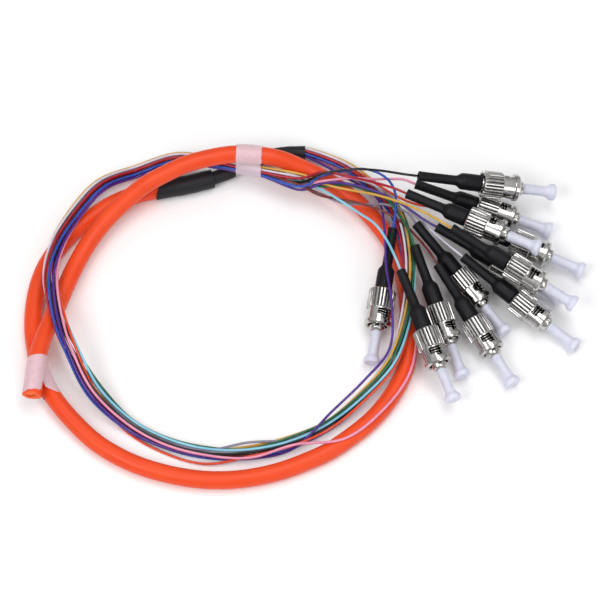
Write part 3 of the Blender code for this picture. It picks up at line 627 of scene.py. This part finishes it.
def make_breakout():
    """The sleeve and the tube that comes out of it. Returns the tube's line."""
    shrink = shrunk_polyolefin()
    sleeve = smooth(centreline("breakout_sleeve", SLEEVE_REAR), SHRINK_SPACING)
    make_sleeve(sleeve, shrink)
    inside = sleeve[-1] - directions(sleeve)[-1] * TUBE_OVERLAP
    tube = smooth(np.vstack([inside, centreline("breakout_tube", TUBE_REAR)]), SHRINK_SPACING)
    make_tube(tube, shrink)
    return tube


def fibre_path(colour, mouth_way, plug_rear, plug_way):
    """The laid fibre, drawn back into the tube and on into the boot."""
    laid = centreline(f"fibre_{colour}", TUBE_MOUTH)
    inside = laid[0] - mouth_way * TUBE_DEPTH
    end = plug_rear + plug_way * (BOOT_MOUTH_DEPTH - 0.5) * MM
    path = smooth(np.vstack([inside, laid, end]), FIBRE_SPACING)
    path[:, 2] = np.maximum(path[:, 2], FIBRE_DIAMETER / 2)
    return path


def make_fibre(colour, path):
    curve = bpy.data.curves.new(f"fibre_{colour}_cord", "CURVE")
    curve.dimensions = "3D"
    curve.bevel_depth = FIBRE_DIAMETER / 2
    curve.bevel_resolution = FIBRE_SIDES // 2 - 2
    curve.use_fill_caps = True
    line = curve.splines.new("POLY")
    line.points.add(len(path) - 1)
    line.points.foreach_set("co", np.column_stack([path, np.ones(len(path))]).ravel())
    curve.materials.append(tight_buffer(colour))
    piece = add_piece(f"buffered_{colour}", curve, PIGTAIL, colour, f"fibre_{colour}")


def boot_form():
    """A strain-relief boot: thin neck, rounded shoulder and grip, hollow at its rear."""
    neck, grip = BOOT_NECK, BOOT_GRIP
    profile = [(0, BOOT_MOUTH_DEPTH), (BOOT_BORE, BOOT_MOUTH_DEPTH), (BOOT_BORE, 0),
               (neck - 0.04, 0), (neck + 0.08, 0.25), (neck + 0.02, 0.8), (neck, 7.0),
               (neck + 0.05, 13.2), (neck + 0.16, 14.0), (neck + 0.50, 14.7),
               (grip - 0.34, 15.3), (grip - 0.10, 15.9), (grip - 0.02, 16.8), (grip, 19.5),
               (grip, BOOT_LENGTH - 0.8), (grip - 0.08, BOOT_LENGTH - 0.25),
               (grip - 0.30, BOOT_LENGTH), (0, BOOT_LENGTH)]
    form = turned(profile, BOOT_STEPS)
    soften(form, 0.08, 2, 40)
    return form


def barrel_form():
    """The plug's metal barrel: collar in the nut, shaft, and the keyed ring in front."""
    start, collar = BOOT_LENGTH + BARREL_GAP, NUT_START + NUT_WEB + COLLAR_GAP
    ring, front, shaft = RING_END - RING_LENGTH, collar + COLLAR_LENGTH, SHAFT_RADIUS
    profile = [(0, start), (SEAT_RADIUS, start), (SEAT_RADIUS, collar),
               (COLLAR_RADIUS, collar), (COLLAR_RADIUS, front), (shaft, front)]
    for coil in range(SPRING_TURNS):
        low = SPRING_START + coil * SPRING_PITCH
        profile += [(shaft, low)] + [(radius, low + rise) for rise, radius in SPRING_COIL]
    profile += [(shaft, ring - 0.6), (SEAT_RADIUS, ring - 0.6), (SEAT_RADIUS, ring),
                (RING_RADIUS, ring + 0.3), (RING_RADIUS, RING_END - 0.5),
                (RING_RADIUS - 0.35, RING_END), (1.85, RING_END), (1.75, RING_END - 0.6),
                (SOCKET_RADIUS, RING_END - 0.6), (SOCKET_RADIUS, RING_END - SOCKET_DEPTH),
                (0, RING_END - SOCKET_DEPTH)]
    form = turned(profile, BARREL_STEPS)
    soften(form, 0.05, 2, 50)
    key = []
    for face in form.faces:
        spot = face.calc_center_median() / MM
        reach = math.hypot(spot.x, spot.y)
        # The shaft behind the spring takes the darkened nickel: painted shade
        painted_shade_behind_spring = front + 0.1 < spot.z < ring - 0.65 and reach < SEAT_RADIUS + 0.2
        face.material_index = int(painted_shade_behind_spring)
        if (abs(reach - RING_RADIUS) < KEY_SLACK and spot.z > ring + KEY_START
                and abs(math.atan2(spot.y, spot.x) - math.pi / 2) < KEY_HALF_ANGLE):
            key.append(face)
    drawn = bmesh.ops.extrude_face_region(form, geom=key)["geom"]
    sunk = [item for item in drawn if isinstance(item, bmesh.types.BMVert)]
    bmesh.ops.delete(form, geom=key, context="FACES_ONLY")
    bmesh.ops.scale(form, vec=(KEY_SINK, KEY_SINK, 1), verts=sunk)
    return form


def nut_form():
    """The coupling nut: ribbed grip, smooth waist, front rim."""
    radius, waist, front = NUT_RADIUS, WAIST_RADIUS, NUT_LENGTH
    rim = front - RIM_LENGTH
    profile = [(NUT_BORE + NUT_EDGE, front), (radius - 0.4, front),
               (radius - 0.2, front - NUT_EDGE), (radius, front - 0.55), (radius, rim + 0.15),
               (radius - 0.15, rim), (waist, rim), (waist, rim - 0.4),
               (waist, KNURL_LENGTH + 0.5), (waist, KNURL_LENGTH),
               (radius - 0.2, KNURL_LENGTH), (radius, KNURL_LENGTH - NUT_EDGE),
               (radius, KNURL_LENGTH * 2 / 3), (radius, KNURL_LENGTH / 3),
               (radius, NUT_CHAMFER), (radius - 0.35, 0), (waist - 0.25, 0),
               (3.5, REAR_RECESS), (REAR_BORE, REAR_RECESS), (REAR_BORE, NUT_WEB),
               (NUT_BORE, NUT_WEB), (NUT_BORE, front - NUT_EDGE)]
    form = turned(profile, RIBS * RIB_STEPS, ring=True)
    for vert in form.verts:
        reach = math.hypot(vert.co.x, vert.co.y) / MM
        if reach > WAIST_RADIUS + 0.1 and vert.co.z < (KNURL_LENGTH + 0.01) * MM:
            turn = math.atan2(vert.co.y, vert.co.x) / (2 * math.pi) * RIBS * RIB_STEPS
            part = round(turn) % RIB_STEPS
            share = 1 - RIB_DEPTH * RIB_SINK.get(part, 0) / reach
            vert.co.x *= share
            vert.co.y *= share
    return form


def slot_outline():
    """Corners of a J-shaped slot, as (across, height)."""
    top, foot = NUT_LENGTH - RIM_LENGTH - SLOT_TOP_GAP, KNURL_LENGTH + SLOT_FOOT_GAP
    across = WAIST_RADIUS * math.sin(SLOT_SWEEP)
    half = SLOT_WIDTH / 2
    return [(-half, top), (-half, foot), (across, foot), (across, foot + SLOT_WIDTH),
            (half, foot + SLOT_WIDTH), (half, top)]


def slot_cutter():
    """Two J-shaped bayonet slots with round corners, drawn out through the nut's wall."""
    form = bmesh.new()
    for side in (1, -1):
        corners = [form.verts.new((side * MM, side * y * MM, z * MM))
                   for y, z in slot_outline()]
        form.faces.new(corners)
        bmesh.ops.bevel(form, geom=corners, offset=SLOT_CORNER * MM, affect="VERTICES",
                        segments=3, offset_type="OFFSET", profile=0.5, material=-1)
        sheet = min(form.faces, key=lambda f: abs(f.calc_center_median().x - side * MM))
        drawn = bmesh.ops.extrude_face_region(form, geom=[sheet])["geom"]
        moved = [item for item in drawn if isinstance(item, bmesh.types.BMVert)]
        bmesh.ops.translate(form, vec=(side * 2 * NUT_RADIUS * MM, 0, 0), verts=moved)
    return form


def cut_nut(finishes):
    """The nut with its bayonet slots cut through, as one finished mesh."""
    nut = bpy.data.objects.new("nut_blank", finished("nut_blank", nut_form(), finishes))
    cutter = bpy.data.objects.new("slot_tool", finished("slot_tool", slot_cutter(), finishes))
    for blank in (nut, cutter):
        bpy.context.scene.collection.objects.link(blank)
    cut = nut.modifiers.new("slots", "BOOLEAN")
    cut.object = cutter
    shown = nut.evaluated_get(bpy.context.evaluated_depsgraph_get())
    form = bmesh.new()
    form.from_mesh(shown.to_mesh())
    shown.to_mesh_clear()
    for blank in (nut, cutter):
        bpy.data.objects.remove(blank)
    bmesh.ops.remove_doubles(form, verts=form.verts, dist=WELD / 4)
    for face in form.faces:
        middle = face.calc_center_median()
        ribbed = (middle.z < KNURL_LENGTH * MM
                  and math.hypot(middle.x, middle.y) > (WAIST_RADIUS + 0.05) * MM)
        turn = math.atan2(middle.y, middle.x) / (2 * math.pi) * RIBS * RIB_STEPS
        # Groove floors and the bore take the darkened nickel as painted shade; the other ribbed
        # faces take the knurled nickel
        groove = ribbed and int(turn % RIB_STEPS) == 0 and abs(face.normal.z) < 0.5
        bore = math.hypot(middle.x, middle.y) < (NUT_BORE + 0.1) * MM
        face.material_index = 2 if groove or bore else 0 if ribbed else 1
    return finished("coupling_nut", form, finishes, 30)


def cap_form():
    """A dust cap: fine rings at its mouth, slim body, trumpet flare and dished flange."""
    body, ring, flange, end = CAP_RADIUS, CAP_RING_RADIUS, CAP_FLANGE, CAP_LENGTH
    profile = [(0, CAP_BORE_DEPTH), (CAP_BORE, CAP_BORE_DEPTH), (CAP_BORE, 0.15),
               (CAP_BORE + 0.09, 0), (body, 0)]
    for i in range(CAP_RINGS):
        low = CAP_RING_START + i * CAP_RING_PITCH
        profile += [(body + 0.02, low), (ring, low + 0.12), (ring, low + 0.28),
                    (body + 0.02, low + 0.40)]
    profile += [(body, 3.0), (body - 0.02, 6.0), (body + 0.02, 7.6), (body + 0.13, 8.5),
                (body + 0.35, 9.2), (body + 0.70, 9.75), (flange - 0.10, 10.1),
                (flange, 10.5), (flange, end - 0.6), (flange - 0.10, end - 0.2),
                (flange - 0.35, end), (flange - 0.75, end), (1.4, end - 0.3), (0, end - 0.4)]
    return turned(profile, CAP_STEPS)


def ferrule_form():
    """A ferrule that stands in its socket, with a rounded tip."""
    radius, foot, tip = FERRULE_RADIUS, RING_END - SOCKET_DEPTH + 0.1, RING_END + FERRULE_REACH
    profile = [(0, foot), (radius, foot), (radius, tip - 0.45), (radius - 0.2, tip - 0.12),
               (0.7, tip), (0, tip)]
    return turned(profile, FERRULE_STEPS)


def plug_place(joint):
    """Rear of the boot and the way the nose points, from the nut's joint."""
    way = Vector(joint["axis"]).normalized()
    return Vector(joint["pos_m"]) - way * NUT_MIDDLE * MM, way


def make_plugs():
    """Twelve plugs, each as a boot, barrel, ferrule, nut and cap. Returns them by number."""
    joints = {joint["name"]: joint for joint in frame["joints"]}
    # The darkened nickel is painted shade for groove floors, the nut's bore and the shaft behind
    # the spring
    bright, painted_shade = turned_nickel(), painted_shade_nickel()
    shapes = {
        "boot": (finished("boot", boot_form(), [moulded_elastomer()]), 0, "boot"),
        "barrel": (finished("barrel", barrel_form(), [bright, painted_shade]), 0, "nickel"),
        "ferrule": (finished("ferrule", ferrule_form(), [ground_zirconia()]), 0, "nickel"),
        "nut": (cut_nut([ribbed_nickel(), bright, painted_shade]), NUT_START, "nickel"),
        "cap": (finished("cap", cap_form(), [natural_polyethylene()]), CAP_START, "cap"),
    }
    plugs = {}
    for number in range(1, len(FIBRE_OF_PLUG) + 1):
        rear, way = plug_place(joints[f"nut_{number:02d}_turn"])
        turn = way.to_track_quat("Z", "Y").to_matrix().to_4x4()
        stands_for = {"boot": (f"connector_body_{number:02d}",),
                      "nut": (f"coupling_nut_{number:02d}",), "cap": (f"dust_cap_{number:02d}",)}
        bodies = {"nut": f"nut_{number:02d}", "cap": f"cap_{number:02d}"}
        pieces = []
        for kind, (mesh, start, slot) in shapes.items():
            data = mesh.copy()
            if kind == "nut":
                facets = NUT_TURNS[number - 1] / NUT_FACETS
                data.transform(Matrix.Rotation(2 * math.pi * facets, 4, "Z"))
            data.transform(Matrix.Translation(rear + way * start * MM) @ turn)
            pieces.append(add_piece(f"{kind}_{number:02d}", data, bodies.get(kind, PIGTAIL),
                                    slot, *stands_for.get(kind, ())))
        plugs[number] = (np.array(rear), np.array(way), pieces)
    return plugs


def crossing(path, place, run):
    """Point of a path where it passes the plane through place across run."""
    away = np.abs((path[:, :2] - place) @ run)
    near = np.linalg.norm(path[:, :2] - place, axis=1) < TAPE_REACH
    return path[np.where(near, away, np.inf).argmin()]


def wrap_outline(circles):
    """Even points of a film drawn round circles of (across, height, radius), which sinks
    in where it bridges between them. It starts at the top, where the same cord always is."""
    corners = []
    for turn in np.linspace(math.pi / 2, math.pi * 5 / 2, WRAP_STEPS):
        normal = np.array([math.cos(turn), math.sin(turn)])
        across, height, radius = max(circles, key=lambda c: c[0] * normal[0]
                                     + c[1] * normal[1] + c[2])
        corners.append(np.array([across, height]) + (radius + TAPE_GAP) * normal)
    corners = np.array(corners)
    outline = along(corners, np.linspace(0, length_of(corners), TAPE_SIDES, endpoint=False))
    run = np.roll(outline, -1, axis=0) - np.roll(outline, 1, axis=0)
    run /= np.linalg.norm(run, axis=1)[:, None]
    normals = np.column_stack([run[:, 1], -run[:, 0]])
    circles = np.array(circles)
    gap = (np.linalg.norm(outline[:, None] - circles[None, :, :2], axis=2)
           - circles[None, :, 2]).min(axis=1)
    return outline - normals * (TAPE_TUCK * np.clip(gap - TAPE_GAP, 0, None))[:, None]


def make_tape(name, held, finishes, centre, run, width, tear, reach):
    """A film band round the held cords, wrinkled along them and torn at its far end, which
    reach moves by distances given at points across the band from the first cord's middle."""
    run = np.array(run) / np.linalg.norm(run)
    level = np.array([-run[1], run[0]])
    centre = (np.array(centre) - np.array(PLAN_CENTRE[:2])) * MM
    distances = np.linspace(-width / 2 - TAPE_SPARE, width / 2 + TAPE_SPARE, TAPE_SECTIONS)
    outlines, firsts = [], []
    for distance in distances:
        place = centre + distance * run
        points = [(crossing(path, place, run), radius) for path, radius in held]
        circles = [(float((point[:2] - place) @ level), float(point[2]), radius)
                   for point, radius in points]
        outlines.append(wrap_outline(circles))
        firsts.append(circles[0][0])
    outlines = np.array(outlines)

    def section(side, distance):
        return np.array([np.interp(distance, distances, outlines[:, side, i]) for i in (0, 1)])

    form = bmesh.new()
    bmesh.ops.create_grid(form, x_segments=TAPE_SIDES, y_segments=TAPE_STEPS, size=0.5)
    for vert in form.verts:
        side = round((vert.co.x + 0.5) * TAPE_SIDES) % TAPE_SIDES
        share = vert.co.y
        across, height = section(side, share * width)
        torn = tear * noise.noise(Vector((across * TAPE_TEAR_GRAIN[0],
                                          height * TAPE_TEAR_GRAIN[1], TAPE_TEAR_SEED)))
        moved = torn + np.interp(across - np.interp(share * width, distances, firsts), *reach)
        edge = max(0.0, share - TAPE_TEAR_START) / (0.5 - TAPE_TEAR_START)
        distance = share * width + edge * moved
        spot = section(side, distance)
        middle = np.array([np.interp(distance, distances, outlines[:, :, i].mean(axis=1))
                           for i in (0, 1)])
        wrinkle = sum(weight * noise.noise(Vector((*(spot * grain), share * change)))
                      for grain, change, weight in TAPE_WRINKLES)
        out = (spot - middle) / np.linalg.norm(spot - middle)
        side_way, up = spot + out * TAPE_WRINKLE * wrinkle
        x, y = centre + distance * run + side_way * level
        vert.co = (x, y, max(up, TAPE_FLOOR))
    bmesh.ops.remove_doubles(form, verts=form.verts, dist=WELD)
    piece = add_piece(name + "_film", finished(name, form, finishes, 60), PIGTAIL, "tape", name)
    wall = piece.modifiers.new("thickness", "SOLIDIFY")
    wall.thickness = TAPE_THICKNESS
    wall.offset = 1.0
    wall.material_offset_rim = 1


def build():
    make_camera()
    make_studio()
    jacket = smooth(centreline("cable_jacket", SLEEVE_REAR), JACKET_SPACING)
    make_jacket(jacket)
    tube = make_breakout()
    mouth_way = directions(tube)[-1]
    plugs = make_plugs()
    fibres = {}
    for number, (rear, way, pieces) in plugs.items():
        colour = FIBRE_OF_PLUG[number - 1]
        fibres[colour] = fibre_path(colour, mouth_way, rear, way)
        make_fibre(colour, fibres[colour])

    film = [acetate_film(), film_edge()]
    dense = {name: along(path, np.arange(0, length_of(path), DENSE_SPACING))
             for name, path in {"jacket": jacket, "tube": tube, **fibres}.items()}
    half = len(dense["jacket"]) // 2
    radius = JACKET_DIAMETER / 2
    low, high = dense["jacket"][:half], dense["jacket"][half:]
    held = [(high, radius), (dense["tube"], TUBE_DIAMETER / 2)]
    held += [(dense[colour], FIBRE_DIAMETER / 2) for colour in FIBRE_OF_PLUG]
    make_tape("top_tape", held, film, **TOP_TAPE)
    make_tape("left_tape", [(high, radius), (low, radius)], film, **LEFT_TAPE)


build()
